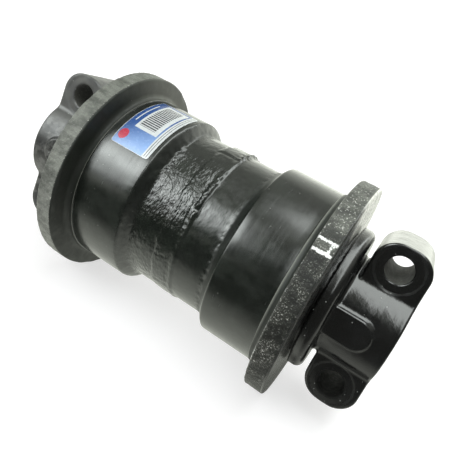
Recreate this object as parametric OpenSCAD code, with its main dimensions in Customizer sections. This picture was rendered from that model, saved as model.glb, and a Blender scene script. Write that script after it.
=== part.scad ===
// Double-flange track roller for a crawler undercarriage.
// The roller shell turns on two bushings about a fixed shaft. A collar is pinned on each end of the shaft,
// and its two ears bolt to the track frame. X runs along the shaft, and the origin is at its middle.
// The collars' mounting faces look along +Y, and their bolt heads sit on the -Y side.

/* [Roller shell] */
// Diameter of the two treads that carry the track links
tread_d = 156; // [150:1:160]
// Diameter of the two outer flanges
flange_d = 190; // [184:1:200]
// Length over the outer faces of the flanges
shell_len = 226; // [226:1:228]
// Width of each flange's rim
rim_w = 16.5; // [15:0.5:17]
// Diameter of the waist between the treads
waist_d = 138; // [132:1:142]
// Distance from the middle to the inner edge of each tread
tread_start = 43.5; // [42:0.5:48]
// Distance from the middle to the outer edge of each machined tread
tread_stop = 89.5; // [84:0.5:90]
// Length of the slope between the waist and a tread
shoulder_len = 7; // [5:0.5:8]
// Radius of the fillet at each flange's root
flange_fillet_r = 4.5; // [3:0.5:5]
// Slope of each flange's inner face, over its height
flange_draft = 1.6; // [1:0.2:2]
// Distance from the middle to the weld that joins the two halves
weld_x = 6; // [0:1:12]
// Height of the weld bead above the waist
weld_h = 1.4; // [0.6:0.2:2]

/* [Collars] */
// Overall length over both collars
overall_len = 352; // [348:1:356]
// Diameter of the round disc next to the flange
disc_d = 125.5; // [120:0.5:130]
// Width of the disc
disc_w = 11.5; // [11:0.5:12]
// Clearance between the disc and the end of the shell
disc_gap = 2.5; // [2:0.5:3]
// Radius on the disc's outer edge
disc_edge_r = 6.5; // [4:0.5:8]
// Diameter of the hub around the shaft
hub_d = 86; // [82:1:90]
// Height of the round-ended boss above the hub's crown
boss_h = 2; // [1:0.5:3]
// Width of the boss where it leaves the hub
boss_root_w = 27; // [24:1:30]
// Width of the flat on top of the boss
boss_top_w = 24; // [16:1:26]

/* [Ears] */
// Length of each ear along the shaft
ear_len = 44.5; // [42:0.5:46]
// Distance over the outer ends of the two ears
ear_span = 143; // [138:1:146]
// Radius on the ears' outer corners
ear_corner_r = 18; // [12:1:20]
// Distance from the shaft axis to the face under the bolt heads
bolt_face = 26.5; // [24:0.5:28]
// Distance from the shaft axis to the mounting face
mount_face = 35; // [33:0.5:38]
// Diameter of the bolt holes
bolt_hole_d = 21; // [19:0.5:22]
// Distance between the bolt holes along the shaft
bolt_spacing_x = 306; // [304:1:308]
// Distance between the bolt holes across the shaft
bolt_spacing_z = 106; // [104:1:108]
// Diameter of the spot face under each bolt head
spot_face_d = 36; // [32:1:37]

/* [Shaft] */
// Diameter of the shaft
shaft_d = 60; // [58:1:60]
// Distance that each shaft end sits inside the collar's end face
shaft_inset = 1; // [0.5:0.5:2]
// Diameter of the relieved middle of the shaft
shaft_relief_d = 57; // [54:1:57]
// Diameter of the oil drilling
oil_hole_d = 8; // [6:1:8]
// Distance from the shaft axis to the oil drilling
oil_hole_z = 16; // [15:0.5:16]

/* [Bushings] */
// Running clearance between shaft and bushing, on the radius
running_gap = 0.05; // [0.02:0.01:0.08]
// Outside diameter of each bushing
bushing_d = 68; // [66:1:70]
// Diameter of each bushing's thrust flange
bushing_flange_d = 80; // [76:1:82]
// Thickness of each thrust flange
bushing_flange_t = 4; // [3:0.5:5]
// Distance from the middle to each thrust face
thrust_x = 95; // [94:0.5:96]
// Length of each bushing
bushing_len = 48; // [40:1:50]
// End play of the shell on each side
end_play = 0.3; // [0.2:0.1:0.6]

/* [Seals] */
// Distance from the middle to the plane where the two seal rings run together
seal_x = 107; // [106:0.5:107]
// Diameter of the two housings that hold a seal
seal_housing_d = 95.5; // [95:0.5:97]
// Thickness of the rubber ring's section
seal_rubber_t = 6.4; // [6:0.1:6.4]
// Gap between the two lapped faces
seal_film = 0.1; // [0.05:0.05:0.2]
// Thickness of the shaft seal's section
o_ring_t = 2.9; // [2.5:0.1:3]

/* [Lock pins] */
// Diameter of each lock pin
pin_d = 14; // [12:1:14]
// Distance from the middle to each lock pin
pin_x = 149; // [148:0.5:150]

/* [Oil plug] */
// Diameter of the plug's thread
plug_thread_d = 14; // [12:1:14]
// Diameter of the plug's head
plug_head_d = 19; // [18:0.5:20]
// Width across the flats of its hexagon socket
plug_socket_w = 8; // [6:1:10]

/* [Label] */
// Width of the adhesive label along the shaft
label_w = 37; // [30:1:40]
// Angle that the label covers around the tread
label_angle = 52; // [40:1:60]

/* [Hidden] */

paint = "#24272a";
gloss_paint = "#16181a";
steel = "#8d9196";
ground_steel = "#b9bcc0";
bronze = "#b08a4a";
rubber = "#1a1a1c";
copper = "#b5673f";
label_blue = "#3f7fc8";

fit_gap = 0.03;        // gap between parts that are pressed together
cut = 1;               // how far a cutter runs past the face that it opens
smooth = 128;          // segments of a drawn circle

tread_r = tread_d / 2;
flange_r = flange_d / 2;
waist_r = waist_d / 2;
shell_end = shell_len / 2;
rim_start = shell_end - rim_w;
forged_step = 0.5;     // how far the forged root stands above the machined tread
step_len = 0.4;
edge_r = 1.2;
weld_section_r = 5;

collar_end = overall_len / 2;
disc_start = shell_end + disc_gap;
disc_end = disc_start + disc_w;
disc_r = disc_d / 2;
hub_r = hub_d / 2;
hub_fillet_r = 3;
ear_start = collar_end - ear_len;
hole_chamfer = 1.3;
spot_depth = 0.5;
boss_end_x = pin_x;

shaft_r = shaft_d / 2;
shaft_end = collar_end - shaft_inset;
shaft_chamfer = 1.5;
bore_r = shaft_r + running_gap;
oil_hole_end = 16;
oil_cross_x = 20;
oil_cross_d = 6;

bushing_r = bushing_d / 2;
bushing_flange_r = bushing_flange_d / 2;
bushing_start = thrust_x - bushing_len;
reservoir_r = bushing_r + 3;
oil_groove_r = 1.4;

seal_r = seal_housing_d / 2;
seal_depth = 12;
sleeve_r = 36;
sleeve_start = thrust_x + end_play;
nose_r = 54;
nose_gap = 1.5;
nose_start = seal_x + 1;
counterbore_x = seal_x - 1;
rubber_u = 7.9;
rubber_r = seal_r - 0.1 - seal_rubber_t / 2;

groove_x = 135;
groove_w = 4.4;
groove_r = shaft_r - o_ring_t - 0.1;

pin_r = pin_d / 2;
pin_blind_y = -38;
pin_chamfer = 1;
pin_inset = 2;

plug_seat_r = plug_head_d / 2 + 1;
plug_seat_depth = 5.5;
plug_len = 14;
washer_t = 1.5;
plug_head_t = 3.5;
plug_socket_depth = 6;

label_t = 0.3;
label_gap = 0.05;
label_start_x = -84;
label_start_angle = 185;

function unit(v) = v / norm(v);

// Points of a round corner of radius r at p, between the neighbours a and b
function corner(a, p, b, r, steps = 5) =
    let (
        u = unit(a - p),
        v = unit(b - p),
        half = acos(u * v) / 2,
        centre = p + unit(u + v) * r / sin(half),
        first = p + u * r / tan(half) - centre,
        last = p + v * r / tan(half) - centre,
        start = atan2(first[1], first[0]),
        turn = (atan2(last[1], last[0]) - start + 540) % 360 - 180
    )
    [for (i = [0:steps]) centre + r * [cos(start + turn * i / steps), sin(start + turn * i / steps)]];

// Outline through [x, y, corner radius] points
function rounded(points) =
    let (n = len(points), at = [for (p = points) [p[0], p[1]]])
    [for (i = [0:n - 1]) each
        points[i][2] > 0
            ? corner(at[(i + n - 1) % n], at[i], at[(i + 1) % n], points[i][2])
            : [at[i]]];

// The points of the +X half, followed by their mirror image
function both_ends(half) =
    concat(half, [for (i = [len(half) - 1:-1:0]) [-half[i][0], half[i][1], half[i][2]]]);

// A solid turned about the X axis from an outline of [x, radius, corner radius] points
module turned(points) {
    rotate([0, 90, 0])
        rotate_extrude($fn = smooth)
            polygon([for (p = rounded(points)) [p[1], p[0]]]);
}

// A ring about the X axis with a round section
module round_ring(x, r, section_r) {
    translate([x, 0, 0])
        rotate([0, 90, 0])
            rotate_extrude($fn = smooth)
                translate([r, 0]) circle(r = section_r, $fn = 48);
}

// A rod or a drilling along X, from one x to another
module x_rod(r, from, to, z = 0) {
    translate([from, 0, z]) rotate([0, 90, 0]) cylinder(r = r, h = to - from, $fn = 64);
}

// A rod or a drilling along Y, from one y to another
module y_rod(r, from, to, x = 0, z = 0) {
    translate([x, from, z]) rotate([-90, 0, 0]) cylinder(r = r, h = to - from, $fn = 64);
}

module mirrored() {
    mirror([1, 0, 0]) children();
}

// ---- the parts that turn ----

module roller_shell() {
    half = [
        [tread_start - shoulder_len, waist_r, 4],
        [tread_start, tread_r, 2.5],
        [tread_stop, tread_r, 0],
        [tread_stop + step_len, tread_r + forged_step, 0],
        [rim_start - flange_draft, tread_r + forged_step, flange_fillet_r],
        [rim_start, flange_r, edge_r],
        [shell_end, flange_r, edge_r],
        [shell_end, nose_r + nose_gap, 0],
        [counterbore_x, nose_r + nose_gap, 0],
        [counterbore_x, seal_r, 0],
        [thrust_x, seal_r, 0],
        [thrust_x, bushing_flange_r + fit_gap, 0],
        [thrust_x - bushing_flange_t, bushing_flange_r + fit_gap, 0],
        [thrust_x - bushing_flange_t, bushing_r + fit_gap, 0],
        [bushing_start - 1, bushing_r + fit_gap, 0],
        [bushing_start - 1, reservoir_r, 0]
    ];
    color(paint)
        union() {
            turned(both_ends(half));
            round_ring(weld_x, waist_r + weld_h - weld_section_r, weld_section_r);
        }
}

module bushing() {
    difference() {
        turned([
            [bushing_start, bore_r, 0],
            [bushing_start, bushing_r, 1],
            [thrust_x - bushing_flange_t, bushing_r, 0],
            [thrust_x - bushing_flange_t, bushing_flange_r, 0],
            [thrust_x, bushing_flange_r, 0.8],
            [thrust_x, bore_r, 0.8]
        ]);
        x_rod(oil_groove_r, bushing_start - cut, thrust_x - bushing_flange_t, bore_r);
    }
}

module left_bushing() {
    color(bronze) mirrored() bushing();
}

module right_bushing() {
    color(bronze) bushing();
}

module label() {
    color(label_blue)
        rotate([0, 90, 0])
            rotate([0, 0, label_start_angle])
                rotate_extrude(angle = label_angle, $fn = smooth)
                    translate([tread_r + label_gap, label_start_x]) square([label_t, label_w]);
}

// ---- the floating seals: each is two lapped metal rings, each pushed by a rubber ring ----

// side is 1 for the fixed ring in the collar and -1 for the turning ring in the shell
module seal_ring(side) {
    face = seal_film / 2;
    points = [
        [face, 38, 0],
        [face, 46.6, 0.6],
        [4, 46.6, 0.6],
        [4.6, 41.8, 0.8],
        [11, 40.4, 0.6],
        [11, 38, 0.6]
    ];
    turned([for (p = points) [seal_x + side * p[0], p[1], p[2]]]);
}

module seal_rubber(side) {
    round_ring(seal_x + side * rubber_u, rubber_r, seal_rubber_t / 2);
}

module left_turning_seal_ring() {
    color(steel) mirrored() seal_ring(-1);
}

module right_turning_seal_ring() {
    color(steel) seal_ring(-1);
}

module left_turning_seal_rubber() {
    color(rubber) mirrored() seal_rubber(-1);
}

module right_turning_seal_rubber() {
    color(rubber) seal_rubber(-1);
}

module left_fixed_seal_ring() {
    color(steel) mirrored() seal_ring(1);
}

module right_fixed_seal_ring() {
    color(steel) seal_ring(1);
}

module left_fixed_seal_rubber() {
    color(rubber) mirrored() seal_rubber(1);
}

module right_fixed_seal_rubber() {
    color(rubber) seal_rubber(1);
}

// ---- the parts that stay still ----

// The disc and hub, with the seal housing and the sleeve that takes end thrust
module collar_body() {
    turned([
        [sleeve_start, 0, 0],
        [sleeve_start, sleeve_r, 0.8],
        [seal_x + seal_depth, sleeve_r, 0],
        [seal_x + seal_depth, seal_r, 0],
        [nose_start, seal_r, 0],
        [nose_start, nose_r, 1],
        [disc_start, nose_r, 0],
        [disc_start, disc_r, edge_r],
        [disc_end, disc_r, disc_edge_r],
        [disc_end, hub_r, hub_fillet_r],
        [collar_end, hub_r, 1.5],
        [collar_end, 0, 0]
    ]);
}

// Both ears as one block across the hub
module ears() {
    outline = [
        [ear_start, -ear_span / 2, ear_corner_r],
        [collar_end, -ear_span / 2, ear_corner_r],
        [collar_end, ear_span / 2, ear_corner_r],
        [ear_start, ear_span / 2, ear_corner_r]
    ];
    rotate([90, 0, 0])
        translate([0, 0, -mount_face - cut])
            linear_extrude(height = mount_face + cut + bolt_face)
                polygon(rounded(outline));
}

// The raised round-ended boss on the hub's crown, over the blind end of the lock pin
module pin_boss() {
    root_y = -sqrt(hub_r * hub_r - boss_root_w * boss_root_w / 4) + 1;
    height = hub_r + boss_h + root_y;
    hull() {
        for (x = [disc_end, boss_end_x])
            translate([x, root_y, 0])
                rotate([90, 0, 0])
                    cylinder(d1 = boss_root_w, d2 = boss_top_w, h = height, $fn = 32);
    }
}

module collar() {
    hole_x = bolt_spacing_x / 2;
    difference() {
        union() {
            collar_body();
            ears();
            intersection() {
                pin_boss();
                translate([disc_end - cut, -hub_d, -hub_d]) cube([ear_len + cut, hub_d, 2 * hub_d]);
            }
        }
        x_rod(bore_r, sleeve_start - cut, collar_end + cut);
        translate([disc_end + hub_fillet_r / 2, mount_face, -ear_span])
            cube([ear_len + hub_d, hub_d, 2 * ear_span]);
        for (side = [-1, 1]) {
            z = side * bolt_spacing_z / 2;
            y_rod(bolt_hole_d / 2, -bolt_face - cut, mount_face + cut, hole_x, z);
            y_rod(spot_face_d / 2, -hub_d, spot_depth - bolt_face, hole_x, z);
            translate([hole_x, spot_depth - bolt_face, z])
                rotate([-90, 0, 0])
                    cylinder(
                        r1 = bolt_hole_d / 2 + hole_chamfer,
                        r2 = bolt_hole_d / 2,
                        h = hole_chamfer,
                        $fn = 64
                    );
        }
        y_rod(pin_r + fit_gap, pin_blind_y, mount_face + cut, pin_x);
    }
}

module left_collar() {
    color(gloss_paint) mirrored() collar();
}

module right_collar() {
    color(gloss_paint) collar();
}

module shaft() {
    half = [
        [bushing_start - 4, shaft_relief_d / 2, 0],
        [bushing_start - 2, shaft_r, 0],
        [groove_x - groove_w / 2, shaft_r, 0],
        [groove_x - groove_w / 2, groove_r, 0],
        [groove_x + groove_w / 2, groove_r, 0],
        [groove_x + groove_w / 2, shaft_r, 0],
        [shaft_end - shaft_chamfer, shaft_r, 0],
        [shaft_end, shaft_r - shaft_chamfer, 0],
        [shaft_end, 0, 0]
    ];
    color(ground_steel)
        difference() {
            turned(both_ends(half));
            for (x = [-pin_x, pin_x])
                y_rod(pin_r + fit_gap, -shaft_d, shaft_d, x);
            x_rod(oil_hole_d / 2, oil_hole_end, shaft_end + cut, oil_hole_z);
            translate([oil_cross_x, 0, oil_hole_z]) cylinder(d = oil_cross_d, h = shaft_d, $fn = 48);
            x_rod(plug_thread_d / 2 + fit_gap, shaft_end - plug_seat_depth - plug_len, shaft_end + cut, oil_hole_z);
            x_rod(plug_seat_r, shaft_end - plug_seat_depth, shaft_end + cut, oil_hole_z);
        }
}

module left_shaft_o_ring() {
    color(rubber) mirrored() round_ring(groove_x, shaft_r - o_ring_t / 2 - 0.05, o_ring_t / 2);
}

module right_shaft_o_ring() {
    color(rubber) round_ring(groove_x, shaft_r - o_ring_t / 2 - 0.05, o_ring_t / 2);
}

// A plain dowel across the hub and the shaft
module lock_pin() {
    low = pin_blind_y + 0.5;
    high = mount_face - pin_inset;
    translate([pin_x, low, 0])
        rotate([-90, 0, 0])
            rotate_extrude($fn = 96)
                polygon([
                    [0, 0],
                    [pin_r - pin_chamfer, 0],
                    [pin_r, pin_chamfer],
                    [pin_r, high - low - pin_chamfer],
                    [pin_r - pin_chamfer, high - low],
                    [0, high - low]
                ]);
}

module left_lock_pin() {
    color(steel) mirrored() lock_pin();
}

module right_lock_pin() {
    color(steel) lock_pin();
}

// A headed plug with a hexagon socket, screwed into the shaft's end over a copper washer
module oil_plug() {
    head_start = shaft_end - plug_seat_depth + washer_t + fit_gap;
    color(steel)
        difference() {
            union() {
                x_rod(plug_thread_d / 2, head_start - plug_len, head_start + cut, oil_hole_z);
                x_rod(plug_head_d / 2, head_start, head_start + plug_head_t, oil_hole_z);
            }
            translate([head_start + plug_head_t - plug_socket_depth, 0, oil_hole_z])
                rotate([0, 90, 0])
                    cylinder(d = plug_socket_w / cos(30), h = plug_socket_depth + cut, $fn = 6);
        }
}

module oil_plug_washer() {
    seat = shaft_end - plug_seat_depth;
    color(copper)
        difference() {
            x_rod(plug_head_d / 2, seat, seat + washer_t, oil_hole_z);
            x_rod(plug_thread_d / 2 + 0.2, seat - cut, seat + washer_t + cut, oil_hole_z);
        }
}

roller_shell();
left_bushing();
right_bushing();
label();
left_turning_seal_ring();
right_turning_seal_ring();
left_turning_seal_rubber();
right_turning_seal_rubber();
left_fixed_seal_ring();
right_fixed_seal_ring();
left_fixed_seal_rubber();
right_fixed_seal_rubber();
left_collar();
right_collar();
shaft();
left_shaft_o_ring();
right_shaft_o_ring();
left_lock_pin();
right_lock_pin();
oil_plug();
oil_plug_washer();
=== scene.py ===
"""The looks of a double-flange track roller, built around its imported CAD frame.

The shell and both collars get finer meshes than the CAD has, with forged and cast surfaces, and the label
gets its print. Every other piece keeps its CAD mesh and gets a material. Shapes are worked out in millimetres
and scaled to metres when their mesh is made. X runs along the shaft, and an angle around the roller starts at
-Y and rises towards +Z.
"""
import math

import bpy
import numpy as np
from mathutils import Matrix, Vector

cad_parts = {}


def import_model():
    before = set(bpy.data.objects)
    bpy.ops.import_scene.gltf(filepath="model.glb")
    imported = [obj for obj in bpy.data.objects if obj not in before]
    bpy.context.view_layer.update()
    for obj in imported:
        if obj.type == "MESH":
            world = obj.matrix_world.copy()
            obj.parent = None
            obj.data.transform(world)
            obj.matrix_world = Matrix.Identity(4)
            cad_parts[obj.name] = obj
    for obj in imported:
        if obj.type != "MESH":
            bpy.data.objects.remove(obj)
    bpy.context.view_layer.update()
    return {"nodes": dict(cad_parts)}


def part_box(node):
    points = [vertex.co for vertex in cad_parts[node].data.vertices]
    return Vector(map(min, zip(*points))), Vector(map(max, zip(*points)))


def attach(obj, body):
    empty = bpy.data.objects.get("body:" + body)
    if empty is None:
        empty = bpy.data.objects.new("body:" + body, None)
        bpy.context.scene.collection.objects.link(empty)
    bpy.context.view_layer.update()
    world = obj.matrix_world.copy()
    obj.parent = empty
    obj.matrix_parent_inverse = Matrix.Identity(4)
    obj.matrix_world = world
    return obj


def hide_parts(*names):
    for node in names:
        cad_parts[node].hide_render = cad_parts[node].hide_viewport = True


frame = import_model()
MM = 0.001


def box_mm(node):
    """Lowest and highest corner of a CAD node, in millimetres."""
    low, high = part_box(node)
    return np.array(low) / MM, np.array(high) / MM


# ---- sizes, which follow the CAD model ----

SHELL_LOW, SHELL_HIGH = box_mm("roller_shell")
COLLAR_LOW, COLLAR_HIGH = box_mm("right_collar")
LABEL_LOW, LABEL_HIGH = box_mm("label")
FLOOR_Z = SHELL_LOW[2]

FLANGE_R = SHELL_HIGH[2]
SHELL_END = SHELL_HIGH[0]
RIM_START = SHELL_END - 16.5
FLANGE_DRAFT = 1.6
FLANGE_FILLET_R = 4.5
TREAD_R = 78.0
TREAD_START = 43.5
TREAD_STOP = 89.5
TREAD_STEP = 0.5        # how far the forged skin beside a tread stands above the turned surface
FORGED_R = TREAD_R + TREAD_STEP
WAIST_R = 69.0
SHOULDER_FOOT = 36.5
WELD_X = 6.0
UPSET_START = -11.5     # where the raised band beside the weld begins

SEAL_MOUTH_R = 55.5
SEAL_HOUSING_START = 106.0
SEAL_HOUSING_R = 47.75
THRUST_FACE = 95.0
THRUST_POCKET_START = 91.0
THRUST_POCKET_R = 40.03
BUSHING_SEAT_START = 46.0
BUSHING_SEAT_R = 34.03
OIL_ROOM_R = 37.0

COLLAR_START = COLLAR_LOW[0]
COLLAR_END = COLLAR_HIGH[0]
EAR_Z = COLLAR_HIGH[2]
EAR_START = COLLAR_END - 44.5
EAR_CORNER_R = 18.0
BOLT_FACE_Y = -26.5
MOUNT_FACE_Y = 35.0
MOUNT_FACE_START = 128.5
HOLE_X = 153.0
HOLE_Z = 53.0
HOLE_R = 10.5
SPOT_R = 18.0
SPOT_DEPTH = 0.5
DISC_START = 115.5
DISC_END = 127.0
DISC_R = 62.75
HUB_R = 43.0
BOSS_H = 2.0
BOSS_ROOT_Y = -39.83
BOSS_ROOT_W = 27.0
BOSS_FLARE = 0.29       # how far each side of the boss spreads for each millimetre towards the shaft
NECK_START = 108.0
NECK_R = 54.0
SLEEVE_R = 36.0
SLEEVE_END = 122.0
SEAL_POCKET_END = 119.0
SHAFT_BORE_R = 30.05
PIN_X = 149.0
PIN_HOLE_R = 7.03
PIN_HOLE_END_Y = -38.0

PARTING_ANGLES = (36.0, 216.0)   # the forging's parting line crosses the rims here
SHELL_POINTS = 98000             # at most, so that the shell has fewer than 200,000 triangles

# ---- light: each edge of a light is its place and the width over which it fades ----

WINDOW_LEAN = 0.4                       # how far the right edge moves left for each degree of height
WINDOW_SLOPE = 0.9                      # how far the lower edge drops for each degree to the left
WINDOW_RIGHT = (6.5, 4.0)               # degrees to the left of -Y, at the horizon
WINDOW_LEFT = (62.0, 8.0)               # degrees to the left of -Y
WINDOW_LOW = (34.0, 14.0)               # degrees above the horizon, straight in front
WINDOW_HIGH = (47.0, 10.0)              # degrees above the horizon
WINDOW_RADIANCE = 3.3
CORE_TURN = (24.0, 44.0, 12.0)          # the window's brighter core: both edges and their fade, in degrees
CORE_HEIGHT = (20.0, 38.0, 12.0)
CORE_RADIANCE = 3.6
BOX_LEFT = (-0.19, 0.12)                # on the direction's x
BOX_RIGHT = (0.30, 0.15)
BOX_FRONT = (-0.61, 0.22)               # on y plus the skew times x, so this edge leans
BOX_FRONT_SKEW = 1.5
BOX_BACK = (0.30, 0.24)
BOX_BACK_SKEW = -2.2
BOX_LOW = (0.45, 0.3)                   # on z
BOX_RADIANCE = 3.4
ROOM_RISE = (12.0, 60.0)                # degrees above the horizon between which the room brightens
ROOM_OVERHEAD = 0.5
ROOM_BACK = 1.35
ROOM_BACK_RISE = (0.25, 0.97)           # on the direction's y
ROOM_HORIZON = 0.6                      # added straight behind the roller
ROOM_HORIZON_RISE = (0.8, 0.98)
ROOM_FRONT = 0.10
LAMP_COLOUR = (0.945, 1.0, 0.98)
ROOM_COLOUR = (0.965, 1.0, 0.90)
MIRRORED_FLOOR_COLOUR = (0.965, 1.0, 0.89)
BACKDROP_RADIANCE = 1.2
FLOOR_GLOW = 0.62

PAINT_IOR = 1.8

# ---- camera, in metres, fitted to the edges of the flanges and treads ----

CAMERA_PLACE = (0.13718, -0.38594, 0.14047)
CAMERA_RIGHT = (0.82391, 0.40469, 0.39674)
CAMERA_UP = (-0.48529, 0.14223, 0.86271)
CAMERA_LENS = 38.79
CAMERA_SENSOR = 36.0


# ---- noise and shape functions ----

def lattice_values(cells, seed):
    """A repeatable value from -1 to 1 for each whole-numbered cell."""
    c = cells.astype(np.uint64)
    h = c[:, 0] * np.uint64(73856093) ^ c[:, 1] * np.uint64(19349663) ^ c[:, 2] * np.uint64(83492791)
    h = (h + np.uint64(seed * 2654435761)) & np.uint64(0xFFFFFFFF)
    for _ in range(2):
        h = ((h >> np.uint64(16)) ^ h) * np.uint64(0x45D9F3B) & np.uint64(0xFFFFFFFF)
    h = (h >> np.uint64(16)) ^ h
    return h.astype(float) / 0x7FFFFFFF - 1


def noise(points, size, seed):
    """Smooth noise from -1 to 1 with features about as wide as size, one number or one for each axis."""
    p = points / np.array(size, float) + 1000.0
    base = np.floor(p)
    t = p - base
    t = t * t * (3 - 2 * t)
    total = np.zeros(len(p))
    for corner in np.ndindex(2, 2, 2):
        weight = np.prod(np.where(corner, t, 1 - t), axis=1)
        total += weight * lattice_values(base + corner, seed)
    return total


def smooth_step(low, high, value):
    t = np.clip((value - low) / (high - low), 0, 1)
    return t * t * (3 - 2 * t)


def round_union(a, b, radius):
    """Union of two distance fields with a fillet between them."""
    corner = np.hypot(np.maximum(radius - a, 0), np.maximum(radius - b, 0))
    return np.maximum(radius, np.minimum(a, b)) - corner


def round_overlap(a, b, radius):
    """Overlap of two distance fields with a rounded edge between them."""
    corner = np.hypot(np.maximum(radius + a, 0), np.maximum(radius + b, 0))
    return np.minimum(-radius, np.maximum(a, b)) + corner


def round_cut(body, tool, radius):
    return round_overlap(body, -tool, radius)


def make_object(name, points, faces, materials, face_materials=None, smooth=True):
    """A mesh object from points in millimetres."""
    mesh = bpy.data.meshes.new(name)
    mesh.from_pydata((np.asarray(points) * MM).tolist(), [], np.asarray(faces).tolist())
    for m in materials:
        mesh.materials.append(m)
    if face_materials is not None:
        mesh.polygons.foreach_set("material_index", np.asarray(face_materials, np.int32))
    mesh.polygons.foreach_set("use_smooth", [smooth] * len(mesh.polygons))
    mesh.update()
    made = bpy.data.objects.new(name, mesh)
    bpy.context.scene.collection.objects.link(made)
    return made


def add_attribute(made, name, values):
    layer = made.data.attributes.new(name, "FLOAT", "POINT")
    layer.data.foreach_set("value", np.asarray(values, np.float32))


# ---- materials ----

class NodeBuilder:
    """Short calls for the number nodes that the materials and the world share."""

    def math(self, operation, a, b=0.0):
        node = self.nodes.new("ShaderNodeMath")
        node.operation = operation
        for socket, value in zip(node.inputs, (a, b)):
            if isinstance(value, (int, float)):
                socket.default_value = value
            else:
                self.links.new(value, socket)
        return node.outputs["Value"]

    def remap(self, value, low, high, to_low=0.0, to_high=1.0):
        """A smooth step from to_low, where value is low, to to_high, where it is high."""
        node = self.nodes.new("ShaderNodeMapRange")
        node.interpolation_type = "SMOOTHSTEP"
        numbers = {"From Min": low, "From Max": high, "To Min": to_low, "To Max": to_high}
        for socket, number in numbers.items():
            node.inputs[socket].default_value = number
        self.links.new(value, node.inputs["Value"])
        return node.outputs["Result"]


class Surface(NodeBuilder):
    """A node-based material."""

    def __init__(self, name, **constants):
        self.material = bpy.data.materials.new(name)
        self.material.use_nodes = True
        self.nodes = self.material.node_tree.nodes
        self.links = self.material.node_tree.links
        self.nodes.clear()
        output = self.nodes.new("ShaderNodeOutputMaterial")
        self.bsdf = self.nodes.new("ShaderNodeBsdfPrincipled")
        self.links.new(self.bsdf.outputs["BSDF"], output.inputs["Surface"])
        self.coordinates = self.nodes.new("ShaderNodeTexCoord").outputs["Object"]
        for socket, value in constants.items():
            self.bsdf.inputs[socket.replace("_", " ")].default_value = value

    def put(self, socket, value):
        self.links.new(value, self.bsdf.inputs[socket])

    def place(self, stretch):
        """Object coordinates, in units of stretch millimetres along each axis."""
        node = self.nodes.new("ShaderNodeMapping")
        node.inputs["Scale"].default_value = [1 / (s * MM) for s in stretch]
        self.links.new(self.coordinates, node.inputs["Vector"])
        return node.outputs["Vector"]

    def noise(self, size, detail=3.0, roughness=0.55):
        """Noise whose features are about size millimetres wide."""
        stretch = size if hasattr(size, "__len__") else (size,) * 3
        node = self.nodes.new("ShaderNodeTexNoise")
        node.inputs["Scale"].default_value = 1.0
        node.inputs["Detail"].default_value = detail
        node.inputs["Roughness"].default_value = roughness
        self.links.new(self.place(stretch), node.inputs["Vector"])
        return node.outputs["Fac"]

    def specks(self, spacing):
        """The distance to the nearest of many scattered points, which are about spacing millimetres apart."""
        node = self.nodes.new("ShaderNodeTexVoronoi")
        node.inputs["Scale"].default_value = 1.0
        self.links.new(self.place((spacing,) * 3), node.inputs["Vector"])
        return node.outputs["Distance"]

    def attribute(self, name):
        node = self.nodes.new("ShaderNodeAttribute")
        node.attribute_name = name
        return node.outputs["Fac"]

    def blend(self, amount, first, second):
        """A colour between two, each a socket or red, green and blue."""
        node = self.nodes.new("ShaderNodeMix")
        node.data_type = "RGBA"
        self.links.new(amount, node.inputs[0])
        for socket, value in ((node.inputs[6], first), (node.inputs[7], second)):
            if isinstance(value, tuple):
                socket.default_value = (*value, 1)
            else:
                self.links.new(value, socket)
        return node.outputs[2]

    def bump(self, height, depth, before=None):
        """Raises the surface by depth millimetres where height is 1, on top of an earlier bump."""
        node = self.nodes.new("ShaderNodeBump")
        node.inputs["Distance"].default_value = depth * MM
        self.links.new(height, node.inputs["Height"])
        if before is not None:
            self.links.new(before, node.inputs["Normal"])
        return node.outputs["Normal"]


def forged_paint():
    """Satin black paint over the shell's rough forged skin."""
    s = Surface("forged_paint", IOR=PAINT_IOR)
    rough = s.attribute("roughness_zone")
    mottle = s.remap(s.noise(9.0, 4.0), 0.35, 0.7, 0, 1)
    grain = s.noise((2.6, 3.8, 3.8), 2.0, 0.5)
    s.put("Base Color", s.blend(mottle, (0.0042, 0.0062, 0.0046), (0.0094, 0.0124, 0.0094)))
    dull = s.math("MULTIPLY", s.math("SUBTRACT", 1.0, rough), 0.10)
    dull = s.math("ADD", dull, s.math("MULTIPLY", s.attribute("foot"), 0.22))
    s.put("Roughness", s.math("ADD", s.remap(s.noise(5.0, 3.0), 0.3, 0.7, 0.07, 0.17), dull))
    height = s.math("MULTIPLY", grain, rough)
    fibres = s.math("MULTIPLY", s.noise((1.8, 6.0, 4.0), 2.0, 0.55), rough)
    s.put("Normal", s.bump(s.noise(1.2, 2.0), 0.01, s.bump(fibres, 0.55, s.bump(height, 0.3))))
    return s.material


def tread_paint():
    """Smoother black paint over the turned treads, with faint turning marks and a few dust specks."""
    s = Surface("tread_paint", IOR=PAINT_IOR)
    haze = s.noise((22.0, 15.0, 15.0), 5.0, 0.6)
    dust = s.remap(s.specks(7.0), 0.035, 0.07, 1, 0)
    shade = s.blend(s.remap(haze, 0.42, 0.62, 0, 1), (0.0044, 0.0064, 0.0046), (0.0125, 0.0155, 0.0125))
    s.put("Base Color", s.blend(dust, shade, (0.14, 0.14, 0.13)))
    cloud = s.remap(s.noise((14.0, 10.0, 10.0), 4.0), 0.3, 0.7, 0.145, 0.22)
    rubbed = s.remap(s.noise((2.2, 36.0, 36.0), 3.0, 0.7), 0.45, 0.7, 0, 0.07)
    s.put("Roughness", s.math("ADD", cloud, rubbed))
    turning = s.noise((0.35, 60.0, 60.0), 1.0)
    s.put("Normal", s.bump(s.noise(18.0, 2.0), 0.13, s.bump(turning, 0.006)))
    return s.material


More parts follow.
